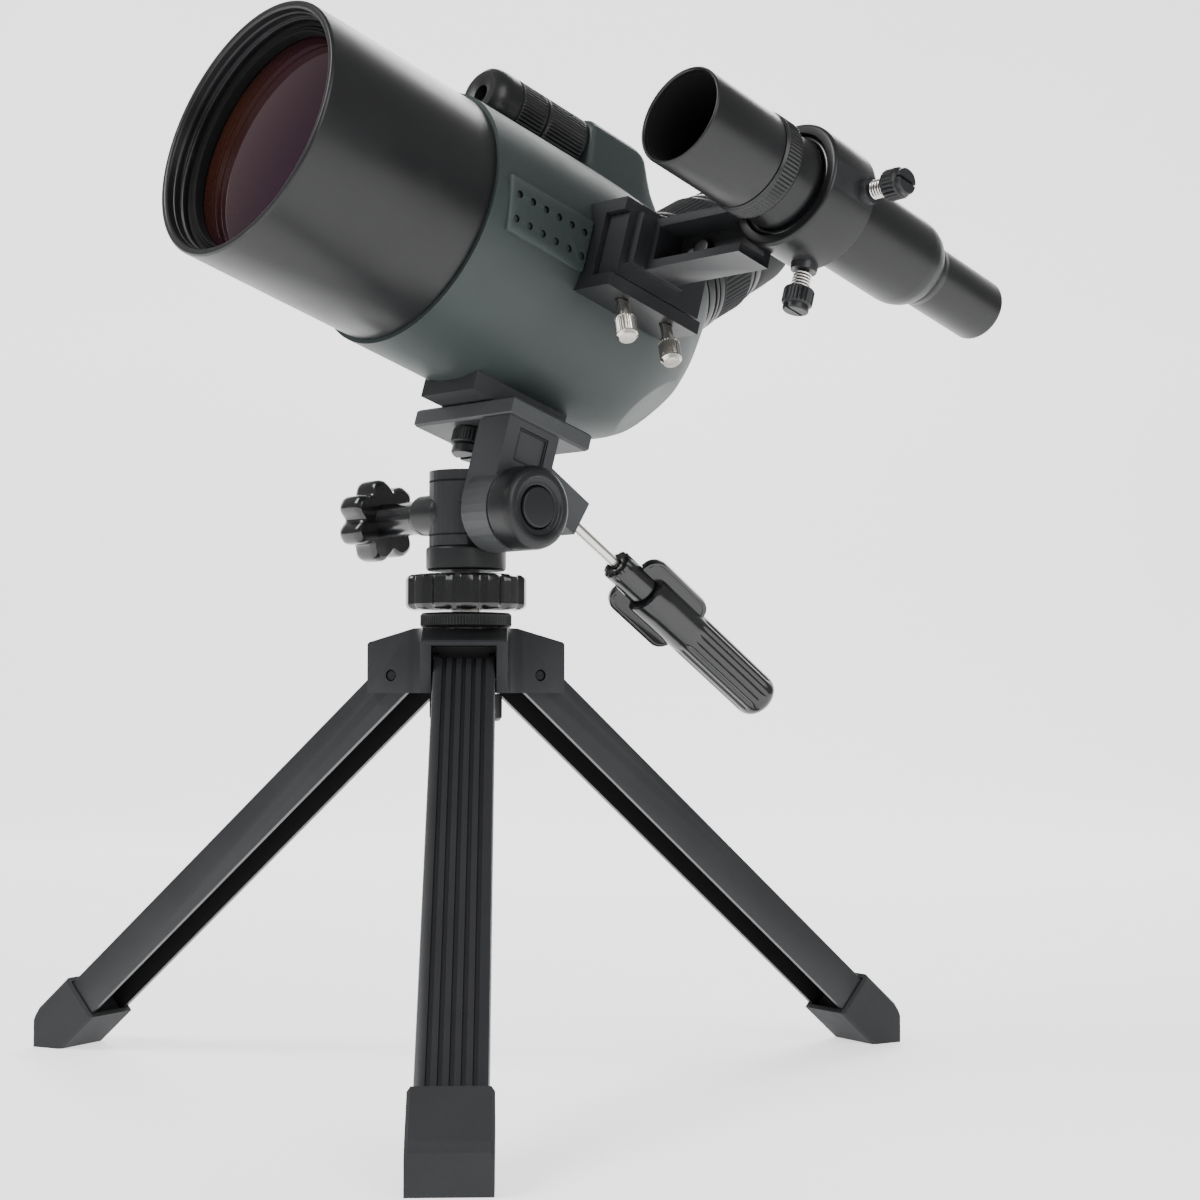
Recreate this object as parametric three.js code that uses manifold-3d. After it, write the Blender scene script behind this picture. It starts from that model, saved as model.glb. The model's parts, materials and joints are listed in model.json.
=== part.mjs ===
// A spotting scope with a 45 degree zoom eyepiece and a side-mounted aiming scope, on a pan and tilt head
// with a short folding tripod. Millimetres, +Z up, the objective faces -Y, and the floor is at Z = 0.
import * as THREE from "three";
import { mergeVertices } from "three/addons/utils/BufferGeometryUtils.js";
import { ConvexGeometry } from "three/addons/geometries/ConvexGeometry.js";
import Module from "manifold-3d";

const wasm = await Module();
wasm.setup();

// Driving dimensions
const DEG = Math.PI / 180;
const GAP = 0.3; // clearance between touching pieces
const TUBE_R = 44; // objective hood
const HOOD_FRONT = -5; // front rim of the hood along the tube
const ELEVATION = 16.65 * DEG; // how far the tube points up at rest
const TILT_HEIGHT = 191.5; // tilt axis above the floor
const SCOPE_BACK = -116; // where the tube's own lengths start, from the tilt axis
const SCOPE_UP = 86.5; // tube axis above the tilt axis, across the tube
const FINDER = { x: 115, y: 72, z: 19, length: 151 };
const RING_Y = 128; // middle of the finder's ring along the tube
const FOOT_RADIUS = 179; // how far the feet stand out
const LEG_ANGLES = [-40.7, 79.3, 199.3];
const LEG_SLOPE = 40.7 * DEG;
const LEG_WIDTH = 20.4;
const HINGE_R = 21;
const HINGE_Z = 136.5;
const LEG_LENGTH = 192; // hinge to the end of the channel
const BOOT_START = 180; // hinge to the open end of the rubber boot
const WALL = 2; // thickness of the leg channels
const AXLE_R = 5; // tilt axle and centre stud
const AXLE_BORE = AXLE_R + GAP;
const HUB = { z0: 130.5, z1: 152.3, reach: 30.5, half: 14.3 };
const PAN_BASE = { r: 13.6, z0: 171.9, z1: 179.9 };

const LOOKS = {
  satin: [0x1d1f21, 0.42, 0.1],
  armour: [0x43534f, 0.62, 0.0],
  rubber: [0x222325, 0.85, 0.0],
  legs: [0x3c3d40, 0.5, 0.2],
  grey: [0x5d6063, 0.55, 0.1],
  dark: [0x2c2e30, 0.5, 0.1],
  gloss: [0x141518, 0.2, 0.1],
  nickel: [0xc9c4ba, 0.25, 1.0],
  steel: [0xd5d2cc, 0.2, 1.0],
  glass: [0x3b2036, 0.05, 0.0],
};

function look(name) {
  const [color, roughness, metalness] = LOOKS[name];
  return new THREE.MeshStandardMaterial({ color, roughness, metalness });
}

// Solids: each shape becomes a manifold-3d solid, is cut or joined, and goes back to a geometry.
function solid(geometry) {
  const bare = geometry.clone();
  bare.deleteAttribute("normal");
  bare.deleteAttribute("uv");
  const merged = mergeVertices(bare, 1e-4);
  const index = merged.index.array;
  const make = (triangles) =>
    new wasm.Manifold(
      new wasm.Mesh({
        numProp: 3,
        vertProperties: new Float32Array(merged.attributes.position.array),
        triVerts: new Uint32Array(triangles),
      }),
    );
  const made = make(index);
  return made.volume() < 0 ? make(Array.from(index).reverse()) : made;
}

function geometryOf(manifold) {
  const mesh = manifold.getMesh();
  const geometry = new THREE.BufferGeometry();
  geometry.setAttribute("position", new THREE.BufferAttribute(new Float32Array(mesh.vertProperties), 3));
  geometry.setIndex(new THREE.BufferAttribute(new Uint32Array(mesh.triVerts), 1));
  const flat = geometry.toNonIndexed();
  flat.computeVertexNormals();
  return flat;
}

function add(group, name, shape, material) {
  const mesh = new THREE.Mesh(geometryOf(shape), look(material));
  mesh.name = name;
  group.add(mesh);
}

const join = (first, ...rest) => rest.reduce((sum, piece) => sum.add(piece), first);
const cut = (first, ...rest) => rest.reduce((left, piece) => left.subtract(piece), first);

// A turned shape about Y. The outline is [radius, y] pairs; a ring closes on itself.
function turned(outline, segments = 28) {
  const points = outline.map(([r, y]) => new THREE.Vector2(Math.max(r, 0), y));
  if (outline.every(([r]) => r > 0)) points.push(points[0].clone());
  return solid(new THREE.LatheGeometry(points, segments));
}

const ring = (outer, inner, y0, y1, segments) =>
  turned([[inner, y0], [outer, y0], [outer, y1], [inner, y1]], segments);
const rod = (r, y0, y1, segments) => turned([[0, y0], [r, y0], [r, y1], [0, y1]], segments);

function box(x0, x1, y0, y1, z0, z1) {
  const geometry = new THREE.BoxGeometry(x1 - x0, y1 - y0, z1 - z0);
  geometry.translate((x0 + x1) / 2, (y0 + y1) / 2, (z0 + z1) / 2);
  return solid(geometry);
}

// An outline extruded along Z from z0 to z1.
function plate(outline, z0, z1, bevel = 0) {
  const shape = new THREE.Shape(outline.map(([x, y]) => new THREE.Vector2(x, y)));
  const geometry = new THREE.ExtrudeGeometry(shape, {
    depth: z1 - z0 - 2 * bevel,
    bevelEnabled: bevel > 0,
    bevelThickness: bevel,
    bevelSize: bevel,
    bevelOffset: -bevel,
    bevelSegments: 1,
    curveSegments: 8,
  });
  geometry.translate(0, 0, z0 + bevel);
  return solid(geometry);
}

// manifold-3d turns are in degrees, about X, then Y, then Z.
const alongZ = (shape) => shape.rotate([90, 0, 0]);
const alongX = (shape) => shape.rotate([0, 0, -90]);

// Body of the scope: sections that turn from across the tube to across the 45 degree eyepiece.
// Each row is the top [y, z], the bottom [y, z] and the half width.
const SECTIONS = [
  [[63.3, 45], [63.3, -45], 45],
  [[95, 45.5], [95, -45.5], 45.5],
  [[122, 45.5], [127, -45.8], 45.2],
  [[138, 45.5], [150, -45], 42.5],
  [[147, 45.5], [167, -39.5], 37.5],
  [[153, 45.2], [180, -29], 32],
  [[157, 45], [189, -14], 27],
  [[159.5, 44.7], [192.8, 0], 24.8],
  [[160.6, 44.4], [194.4, 10.6], 24.2],
];

function loft(shrink, overrun) {
  const around = 24;
  const rows = SECTIONS.map(([top, bottom, half], i) => {
    const middle = [(top[0] + bottom[0]) / 2, (top[1] + bottom[1]) / 2];
    const up = [(top[0] - bottom[0]) / 2, (top[1] - bottom[1]) / 2];
    const height = Math.hypot(...up);
    const away = [up[1] / height, -up[0] / height];
    const push = i === 0 ? -overrun : i === SECTIONS.length - 1 ? overrun : 0;
    const keep = (height - shrink) / height;
    return Array.from({ length: around }, (_, k) => {
      const a = (k / around) * 2 * Math.PI;
      return new THREE.Vector3(
        (half - shrink) * Math.cos(a),
        middle[0] + up[0] * keep * Math.sin(a) + away[0] * push,
        middle[1] + up[1] * keep * Math.sin(a) + away[1] * push,
      );
    });
  });
  const vertices = rows.flat().flatMap((p) => [p.x, p.y, p.z]);
  const triangles = [];
  const at = (i, k) => i * around + (k % around);
  for (let i = 0; i + 1 < rows.length; i++) {
    for (let k = 0; k < around; k++) {
      triangles.push(at(i, k), at(i + 1, k), at(i + 1, k + 1));
      triangles.push(at(i, k), at(i + 1, k + 1), at(i, k + 1));
    }
  }
  for (const [i, turn] of [[0, 1], [rows.length - 1, -1]]) {
    const centre = vertices.length / 3;
    const middle = rows[i].reduce((sum, p) => sum.add(p), new THREE.Vector3()).divideScalar(around);
    vertices.push(middle.x, middle.y, middle.z);
    for (let k = 0; k < around; k++) {
      const pair = turn > 0 ? [at(i, k), at(i, k + 1)] : [at(i, k + 1), at(i, k)];
      triangles.push(centre, ...pair);
    }
  }
  const geometry = new THREE.BufferGeometry();
  geometry.setAttribute("position", new THREE.Float32BufferAttribute(vertices, 3));
  geometry.setIndex(triangles);
  return solid(geometry);
}

const root = new THREE.Group();
const tilt = new THREE.Group();
tilt.position.set(0, 0, TILT_HEIGHT);
tilt.rotation.x = -ELEVATION;
const scope = new THREE.Group();
scope.position.set(0, SCOPE_BACK, SCOPE_UP);
tilt.add(scope);
root.add(tilt);

// Objective end
function objective() {
  const back = 63;
  add(scope, "hood", turned([
    [41.2, HOOD_FRONT + 0.8], [42, HOOD_FRONT], [43.4, HOOD_FRONT], [TUBE_R, HOOD_FRONT + 0.8],
    [TUBE_R, back], [39.6, back], [39.6, HOOD_FRONT + 22], [41.2, HOOD_FRONT + 20],
  ], 44), "satin");
  add(scope, "lens_retaining_ring", ring(40.8, 37.2, HOOD_FRONT + 8, HOOD_FRONT + 12.2, 36), "satin");
  add(scope, "objective_lens", turned([
    [0, 8.8], [18, 9.7], [38.6, 12.6], [38.6, 19], [0, 19],
  ], 36).translate([0, HOOD_FRONT, 0]), "glass");
}

// Focus knobs lie in a trough on top of the body, in front of the raised housing.
const KNOB = { z: 54.5, r: 11, front: 79, split: 103, back: 121.6 };

function body() {
  const outer = loft(0, 0);
  const inner = loft(3, 1);
  const housing = new ConvexGeometry(
    [[122, 40, 17], [122, 61, 12], [122, 65.2, 6], [149, 65.2, 6], [149, 61, 12], [154, 44, 17], [160, 38, 12],
      [152.5, 57, 9], [157.5, 46, 11]].flatMap(([y, z, x]) =>
      [-1, 1].map((side) => new THREE.Vector3(side * x, y, z))),
  );
  const panel = box(41, 46.3, 67, 105, -8.5, 10);
  const trough = rod(KNOB.r + 0.5, KNOB.front - 1, 122.2, 32).translate([0, 0, KNOB.z]);
  const spindleHole = rod(3.3, 120, 138, 16).translate([0, 0, KNOB.z]);
  const shell = cut(join(outer, solid(housing), panel), inner, trough, spindleHole);
  add(scope, "body_shell", shell, "armour");

  const spindle = rod(3, KNOB.front + 6, 136, 16).translate([0, 0, KNOB.z]);
  add(scope, "focus_spindle", spindle, "steel");
  const fine = turned([
    [3.35, KNOB.front + 1], [8.2, KNOB.front], [10.2, KNOB.front + 2], [KNOB.r, KNOB.front + 5],
    [KNOB.r, KNOB.split - 0.6], [3.35, KNOB.split - 0.6],
  ], 28).translate([0, 0, KNOB.z]);
  add(scope, "fine_focus_knob", fine, "satin");
  const coarse = ring(KNOB.r, 3.35, KNOB.split, KNOB.back, 28).translate([0, 0, KNOB.z]);
  add(scope, "coarse_focus_knob", coarse, "satin");

  add(scope, "focus_carriage", ring(38, 33.4, 78, 98, 28), "dark");
  add(scope, "focus_lens", rod(33, 84, 90, 28), "glass");
  const prism = new ConvexGeometry(
    [[144, -20], [144, 14], [154, 20], [176, 0], [166, -18]].flatMap(([y, z]) =>
      [-13, 13].map((x) => new THREE.Vector3(x, y, z))),
  );
  add(scope, "erecting_prism", solid(prism), "glass");

  const foot = cut(box(-14, 14, 96, 138, -50, -40), loft(-GAP, 0), rod(3.5, 0, 20, 16)
    .rotate([90, 0, 0]).translate([SCREW.x, SCREW.y - SCOPE_BACK, -54]));
  add(scope, "mounting_foot", foot, "rubber");
}

// Eyepiece, along Y of its own group, which points up at 45 degrees
function eyepiece() {
  const group = new THREE.Group();
  group.position.set(0, 178, 27);
  group.rotation.x = 45 * DEG;
  scope.add(group);
  add(group, "eyepiece_barrel", turned([
    [15, GAP], [23.4, GAP], [23.4, 4.4], [22, 4.8], [22, 6], [23.2, 6.4], [23.2, 9.7], [18, 9.7], [18, 42], [15, 42],
  ], 28), "satin");
  add(group, "zoom_ring", ring(22.9, 18.3, 10, 27, 28), "satin");
  add(group, "eyepiece_collar", ring(21.6, 18.3, 27.3, 34.7, 28), "satin");
  add(group, "eyecup", turned([
    [18.3, 35], [20.8, 35], [21.3, 38], [20.9, 52.5], [20, 55], [18.6, 55], [17.6, 46], [18.3, 45],
  ], 28), "rubber");
  add(group, "eye_lens", rod(14.7, 36, 40, 20), "glass");
  add(group, "zoom_carriage", ring(14.7, 9, 10, 20, 20), "dark");
}

// Shoe on the side of the body, its two thumbscrews, and the bracket that slides into it
const SHOE = { y0: 105, y1: 148, z0: -14.5, z1: 17 };
const THUMBSCREWS_Y = [117, 138];
const THUMB_LEAN = 26; // degrees outward from straight down
const ARM = { z0: -5, z1: 13, y0: 116, y1: 130 };

function shoe() {
  const outer = box(42, 60, SHOE.y0, SHOE.y1, SHOE.z0, SHOE.z1);
  const slot = box(51, 61, SHOE.y0 - 1, SHOE.y1 + 1, SHOE.z0 + 4.5, SHOE.z1 - 4.5);
  const corner = box(-6, 6, SHOE.y0 - 1, SHOE.y1 + 1, 0, 12).rotate([0, 45, 0]).translate([60, 0, SHOE.z1 + 1]);
  const bores = THUMBSCREWS_Y.map((y) => thumbAxis(rod(2.3, -6, 14, 16), y));
  add(scope, "finder_shoe", cut(outer, slot, corner, loft(-GAP, 0), ...bores), "dark");
  THUMBSCREWS_Y.forEach((y, i) => {
    const screw = join(rod(2, -5.2, 7, 16), turned([[0, 5], [2.6, 5], [3.6, 7], [3.6, 14], [3, 15], [0, 15]], 24));
    add(scope, "shoe_thumbscrew_" + (i + 1), thumbAxis(screw, y), "nickel");
  });
}

// Places a shape made along +Y on a thumbscrew's axis, head downward.
function thumbAxis(shape, y) {
  return shape.rotate([-90, 0, 0]).rotate([0, -THUMB_LEAN, 0]).translate([55, y, -15.5]);
}

const SCREW_ANGLES = [3, 135, -90]; // adjusting screws round the finder, from +X towards +Z

function radial(shape, angle) {
  return shape.rotate([0, 0, -90]).rotate([0, -angle, 0]).translate([FINDER.x, 137, FINDER.z]);
}

function bracket() {
  const onAxis = (shape) => shape.translate([FINDER.x, 0, FINDER.z]);
  const dovetail = box(51.3, 60.6, 107, 146, SHOE.z0 + 4.8, SHOE.z1 - 4.8);
  const block = box(60.3, 63, 110, 134, ARM.z0, ARM.z1);
  const bar = box(60.3, 104, ARM.y0, ARM.y1, ARM.z0, ARM.z1);
  const channel = box(64, 110, ARM.y0 - 1, ARM.y1 - 3, ARM.z0 + 3.4, ARM.z1 - 3.4);
  const band = onAxis(ring(21, 17.4, 121, 141, 32));
  const bosses = SCREW_ANGLES.map((a) => radial(rod(4.4, 19, 23, 16), a));
  const holes = SCREW_ANGLES.map((a) => radial(rod(2.2, 12, 26, 12), a));
  const bore = onAxis(rod(17.4, 100, 160, 32));
  const webHole = rod(2, 120, 140, 12).translate([72, 0, 4]);
  const whole = cut(join(dovetail, block, cut(bar, channel), band, ...bosses), bore, webHole, ...holes);
  add(scope, "finder_bracket", whole, "satin");
  SCREW_ANGLES.forEach((a, i) => {
    const screw = join(rod(1.8, 15.9, 30, 12), turned([
      [0, 29.4], [4.6, 29.4], [5, 30], [5, 34.4], [4.2, 35], [4.2, 37], [0, 37],
    ], 20));
    add(scope, "adjusting_screw_" + (i + 1), radial(screw, a), "satin");
    add(scope, "adjusting_spring_" + (i + 1), radial(ring(3.1, 2.2, 23.3, 29.1, 16), a), "dark");
  });
}

// Aiming scope, along Y of its own group
function finder() {
  const group = new THREE.Group();
  group.position.set(FINDER.x, FINDER.y, FINDER.z);
  scope.add(group);
  add(group, "finder_hood", turned([
    [14.9, 0.5], [15.6, 0], [16.2, 0.8], [16.2, 31], [13.4, 31], [13.4, 26], [14.9, 24],
  ], 28), "satin");
  add(group, "finder_lock_ring", ring(16.7, 13.4, 31.3, 39, 28), "satin");
  add(group, "finder_tube", turned([
    [11, 27], [13, 27], [13, 39.3], [14.2, 39.3], [14.6, 43], [15.5, 47], [15.5, 48.6], [14.6, 49.2], [14.6, 53],
    [15.1, 53.4], [15.1, 110], [14.4, 113.5], [12.4, 117], [9.3, 117], [9.3, 104], [11, 100],
  ], 28), "satin");
  add(group, "finder_objective", rod(13.1, 22.6, 26.7, 24), "glass");
  add(group, "finder_ocular", turned([
    [8.3, 117.3], [11.2, 117.3], [10.8, 122], [10.6, FINDER.length - 0.6], [10, FINDER.length], [8.3, FINDER.length],
  ], 24), "satin");
  add(group, "finder_eye_lens", rod(8, 143, 146, 18), "glass");
  const round = Array.from({ length: 6 }, (_, k) => {
    const a = (k / 6) * 2 * Math.PI;
    return [16.0 + 1.1 * Math.cos(a), 51.1 + 1.3 * Math.sin(a)];
  });
  add(group, "finder_o_ring", turned(round, 24), "rubber");
}

// Pieces that tilt with the scope, in the tilt group: Y along the tube, Z across it, origin on the tilt axis
const PLATE = { x: 26, y0: -11.5, y1: 25, z0: 29.8, z1: 36.2 };
const SCREW = { x: -4, y: -1 };
const HANDLE = { x: 18.5, y: 26.8, z: 8, drop: 16.35 }; // its angle below the tube's own line, in degrees

function tiltHead() {
  const screwBore = alongZ(rod(3.5, -50, 50, 16)).translate([SCREW.x, SCREW.y, 0]);
  const slab = plate([
    [-PLATE.x, PLATE.y0], [PLATE.x, PLATE.y0], [PLATE.x, PLATE.y1], [-PLATE.x, PLATE.y1],
  ], PLATE.z0, PLATE.z1, 0.8);
  add(tilt, "head_plate", cut(slab, screwBore), "grey");

  const wheel = alongZ(join(
    rod(3, 24, 39.5, 16),
    turned([[0, 20.4], [6.6, 20.4], [7.8, 21.5], [7.8, 29.4], [0, 29.4]], 28),
  )).translate([SCREW.x, SCREW.y, 0]);
  add(tilt, "camera_screw", wheel, "dark");

  const arm = box(10.5, 26, -11.5, 11.2, 0, PLATE.z0 - GAP);
  const barrel = alongX(turned([[0, 10.5], [11, 10.5], [11, 14.3], [14, 14.3], [14, 27], [0, 27]], 32));
  const lug = handleAxis(box(-6.5, 6.5, -18, 3, -6.5, 6.5));
  const bore = alongX(rod(AXLE_BORE, 8, 30, 24));
  const rodBore = handleAxis(rod(2.3, -4, 10, 16));
  const panel = box(25.2, 27, -6, 7, 15.5, 27);
  add(tilt, "yoke", cut(join(arm, barrel, lug), bore, rodBore, panel), "grey");
  add(tilt, "tilt_boss", alongX(turned([
    [AXLE_BORE, 27.3], [14, 27.3], [14, 36.5], [12.6, 38.2], [9.6, 38.2], [9, 37], [7.2, 37], [7.2, 35],
    [AXLE_BORE, 35],
  ], 28)), "dark");
  add(tilt, "tilt_boss_cap", alongX(rod(6.9, 35.4, 37.8, 28)), "dark");

  add(tilt, "handle_rod", handleAxis(rod(1.9, -3.5, 46, 16)), "steel");
  add(tilt, "handle_collar", handleAxis(ring(5.6, 2.2, 29, 45, 24)), "gloss");
  const barrelGrip = turned([
    [0, 47], [2.2, 47], [2.2, 45.4], [7.4, 45.4], [8.2, 46.4], [8.2, 113], [6.6, 116], [3.5, 117.4], [0, 117.4],
  ], 28);
  const wings = cut(box(-12.5, 12.5, 37, 70, -1.7, 1.7), rod(5.9, 30, 45.4, 24)).rotate([0, -45, 0]);
  const grip = cut(join(barrelGrip, wings), rod(2.2, 30, 47, 16));
  add(tilt, "handle_grip", handleAxis(grip), "gloss");
}

// Places a shape made along +Y on the handle's axis.
function handleAxis(shape) {
  return shape.rotate([-HANDLE.drop, 0, 0]).translate([HANDLE.x, HANDLE.y, HANDLE.z]);
}

// Pan head, which turns on the tripod's centre stud
function panHead() {
  const head = new THREE.Group();
  head.position.set(0, 0, TILT_HEIGHT);
  root.add(head);
  const low = PAN_BASE.z0 - TILT_HEIGHT;
  const high = PAN_BASE.z1 - TILT_HEIGHT;
  const studBore = alongZ(rod(AXLE_BORE, low - 5, low + 5, 20));
  add(head, "pan_base", cut(alongZ(rod(PAN_BASE.r, low, high, 36)), studBore), "dark");
  const tower = alongZ(rod(12.6, high + GAP, 14.2, 36));
  const boss = alongX(rod(6.5, -21, -6, 24));
  const clampSlit = box(-30, -2, -0.7, 0.7, -11, 20);
  const body = cut(
    join(tower, boss), box(10, 20, -20, 20, -20, 20), clampSlit,
    alongX(rod(AXLE_BORE, -14, 12, 24)), alongX(rod(3.4, -24, -12, 16)),
  );
  add(head, "clamp_body", body, "dark");
  add(head, "tilt_axle", alongX(rod(AXLE_R, -12.5, 34.7, 24)), "steel");

  const lobes = 7;
  const outline = Array.from({ length: lobes * 6 }, (_, k) => {
    const a = (k / (lobes * 6)) * 2 * Math.PI;
    const r = 13.4 + 1.7 * Math.cos(lobes * a) - 0.35 * Math.cos(2 * lobes * a);
    return [r * Math.cos(a), r * Math.sin(a)];
  });
  const knob = plate(outline, -55, -43, 1.2).rotate([0, 90, 0]);
  const neck = alongX(join(rod(5.9, -44, -21.3, 24), rod(3, -22, -13, 16)));
  add(head, "tilt_knob", join(knob, neck), "gloss");
}

// Tripod: locking knobs, hub with three clevis arms, folding channel legs and rubber feet
function tripod() {
  add(root, "centre_stud", alongZ(rod(AXLE_R, 124, 176, 20)), "steel");
  const flutes = 14;
  const fluted = Array.from({ length: flutes * 3 }, (_, k) => {
    const a = (k / (flutes * 3)) * 2 * Math.PI;
    const r = k % 3 === 0 ? 19.9 : 20.6;
    return [r * Math.cos(a), r * Math.sin(a)];
  });
  const bore = alongZ(rod(5.4, 100, 200, 20));
  add(root, "pan_knob", cut(plate(fluted, 158.6, 170.6, 1), bore), "gloss");
  add(root, "pan_lock_ring", alongZ(ring(15.5, 5.4, 152.6, 157.6, 28)), "dark");

  const arms = [];
  const cuts = [];
  for (const angle of LEG_ANGLES) {
    const place = (shape) => shape.rotate([0, 0, angle]);
    const side = plate([
      [0, HUB.z0], [HUB.reach, HUB.z0], [HUB.reach, HUB.z1 - 4.7], [12, HUB.z1 - 0.9], [0, HUB.z1 - GAP],
    ], -HUB.half, HUB.half).rotate([90, 0, 0]);
    arms.push(place(side));
    cuts.push(place(box(9.6, 40, -LEG_WIDTH / 2 - 0.5, LEG_WIDTH / 2 + 0.5, 120, 146)));
    cuts.push(place(rod(2.2, -20, 20, 12).translate([HINGE_R, 0, HINGE_Z])));
  }
  const core = alongZ(rod(17.5, HUB.z0, HUB.z1, 36));
  add(root, "hub", cut(join(core, ...arms), ...cuts, bore), "legs");
  add(root, "hub_nut", alongZ(turned([
    [AXLE_BORE, 121], [11.5, 121], [12.3, 122], [12.3, HUB.z0 - GAP], [AXLE_BORE, HUB.z0 - GAP],
  ], 28)), "dark");

  LEG_ANGLES.forEach((angle, i) => leg(angle, i + 1));
}

// A leg in its own group: Y runs down the leg from the hinge, Z is across it and faces up and out.
function leg(angle, number) {
  const turn = new THREE.Group();
  turn.rotation.z = (angle - 90) * DEG;
  const group = new THREE.Group();
  group.position.set(0, HINGE_R, HINGE_Z);
  group.rotation.x = -LEG_SLOPE;
  turn.add(group);
  root.add(turn);
  const half = LEG_WIDTH / 2;
  const top = 7.2;
  const bottom = -6.8;
  const bar = box(-half, half, -6.5, LEG_LENGTH, bottom, top);
  const hollow = box(-half + WALL, half - WALL, -20, LEG_LENGTH + 5, bottom - 5, top - WALL);
  const pinHole = alongX(rod(2.2, -20, 20, 12));
  const roundTop = alongX(rod(7.2, -half, half, 28));
  const square = box(-half - 1, half + 1, -8, 0, 0, 8);
  const channel = cut(join(cut(bar, square), cut(roundTop, box(-20, 20, 0.1, 9, -9, 9))), hollow, pinHole);
  add(group, "leg_" + number, channel, "legs");
  add(group, "leg_pin_" + number, alongX(rod(1.9, -14, 14, 12)), "steel");

  // The boot is a block round the end of the channel, cut level with the floor.
  const reach = FOOT_RADIUS - HINGE_R;
  const boot = plate([
    [BOOT_START, -8.8], [BOOT_START, 9.2], [198, 9.2], [210, 6], [224, -6], [224, -8.8],
  ], -half - 1.6, half + 1.6, 1).rotate([90, 0, 0]).rotate([0, 0, 90]);
  const socket = box(-half - GAP, half + GAP, LEG_LENGTH - 40, LEG_LENGTH + GAP, bottom - GAP, top + GAP);
  const inside = half - WALL - GAP;
  const core = box(-inside, inside, LEG_LENGTH - 10, LEG_LENGTH + 4, bottom - 0.5, top - WALL - GAP);
  const under = box(-60, 60, -200, 400, -200, 0);
  const front = box(-60, 60, reach, 400, -200, 200);
  const toLeg = (shape) => shape.translate([0, 0, -HINGE_Z]).rotate([LEG_SLOPE / DEG, 0, 0]);
  const whole = cut(join(cut(boot, socket), core), toLeg(under), toLeg(front));
  add(group, "foot_" + number, whole, "rubber");
}

objective();
body();
eyepiece();
shoe();
bracket();
finder();
tiltHead();
panHead();
tripod();

// The origin is at the middle of the object's box, on the floor.
root.updateMatrixWorld(true);
const bounds = new THREE.Box3().setFromObject(root, true);
root.position.set(-(bounds.min.x + bounds.max.x) / 2, -(bounds.min.y + bounds.max.y) / 2, -bounds.min.z);

export default root;
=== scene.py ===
"""A spotting scope with a side finder on a pan and tilt head and a table tripod: the visual model.

Shapes are given in millimetres in the local frames of the object's own joints, and go to metres in solid().
"""
import json
import math

import bmesh
import bpy
from mathutils import Matrix, Vector


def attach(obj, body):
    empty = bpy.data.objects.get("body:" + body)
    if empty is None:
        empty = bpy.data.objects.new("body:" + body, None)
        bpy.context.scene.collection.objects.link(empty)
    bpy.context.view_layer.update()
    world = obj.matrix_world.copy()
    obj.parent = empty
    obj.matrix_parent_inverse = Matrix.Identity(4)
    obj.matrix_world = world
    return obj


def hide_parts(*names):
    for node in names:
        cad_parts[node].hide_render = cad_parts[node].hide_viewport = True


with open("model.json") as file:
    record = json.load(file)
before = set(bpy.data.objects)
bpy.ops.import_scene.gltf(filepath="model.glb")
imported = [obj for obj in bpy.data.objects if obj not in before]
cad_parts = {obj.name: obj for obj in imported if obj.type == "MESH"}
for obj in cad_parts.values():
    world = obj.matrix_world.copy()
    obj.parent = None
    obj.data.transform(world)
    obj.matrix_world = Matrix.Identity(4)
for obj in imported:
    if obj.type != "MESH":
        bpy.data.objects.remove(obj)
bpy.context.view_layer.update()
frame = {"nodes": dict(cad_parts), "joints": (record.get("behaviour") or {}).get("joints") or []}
MM = 0.001
RIGHT = Vector((1, 0, 0))
UP = Vector((0, 0, 1))

# ---------------------------------------------------------------- local frames, from the record's joints
JOINTS = {joint["name"]: joint for joint in frame["joints"]}
ADJUSTERS = ("adjuster_one_turn", "adjuster_two_turn", "adjuster_three_turn")
SHOE_SCREWS = ("shoe_screw_one_turn", "shoe_screw_two_turn")
LEG_NUMBERS = ("one", "two", "three")
KNOB_HEIGHT = 54.5
HOOD_FORWARD = 5
FINDER_X, FINDER_Z = 115, 19
CAMERA_SCREW_X, CAMERA_SCREW_Y = -4, -1
HINGE_OUT, HINGE_HEIGHT = 21, 136.5


def local_frame(origin, along, side):
    """A frame whose Y is along and whose X is side, squared up."""
    y = Vector(along).normalized()
    x = (Vector(side) - y * Vector(side).dot(y)).normalized()
    z = x.cross(y)
    rows = [[x[i], y[i], z[i], origin[i]] for i in range(3)]
    return Matrix(rows + [[0, 0, 0, 1]])


def joint_frame(name, side=RIGHT):
    joint = JOINTS[name]
    return local_frame(joint["pos_m"], joint["axis"], side)


def shifted(matrix, x=0, y=0, z=0):
    """The same frame moved by millimetres along its own axes."""
    return matrix @ Matrix.Translation((x * MM, y * MM, z * MM))


def axis_x(matrix):
    """The same frame with its Y turned onto its old X, for pieces turned about X."""
    return matrix @ Matrix.Rotation(-math.pi / 2, 4, "Z")


def axis_z(matrix):
    """The same frame with its Y turned onto its old Z, for pieces turned about Z."""
    return matrix @ Matrix.Rotation(math.pi / 2, 4, "X")


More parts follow.
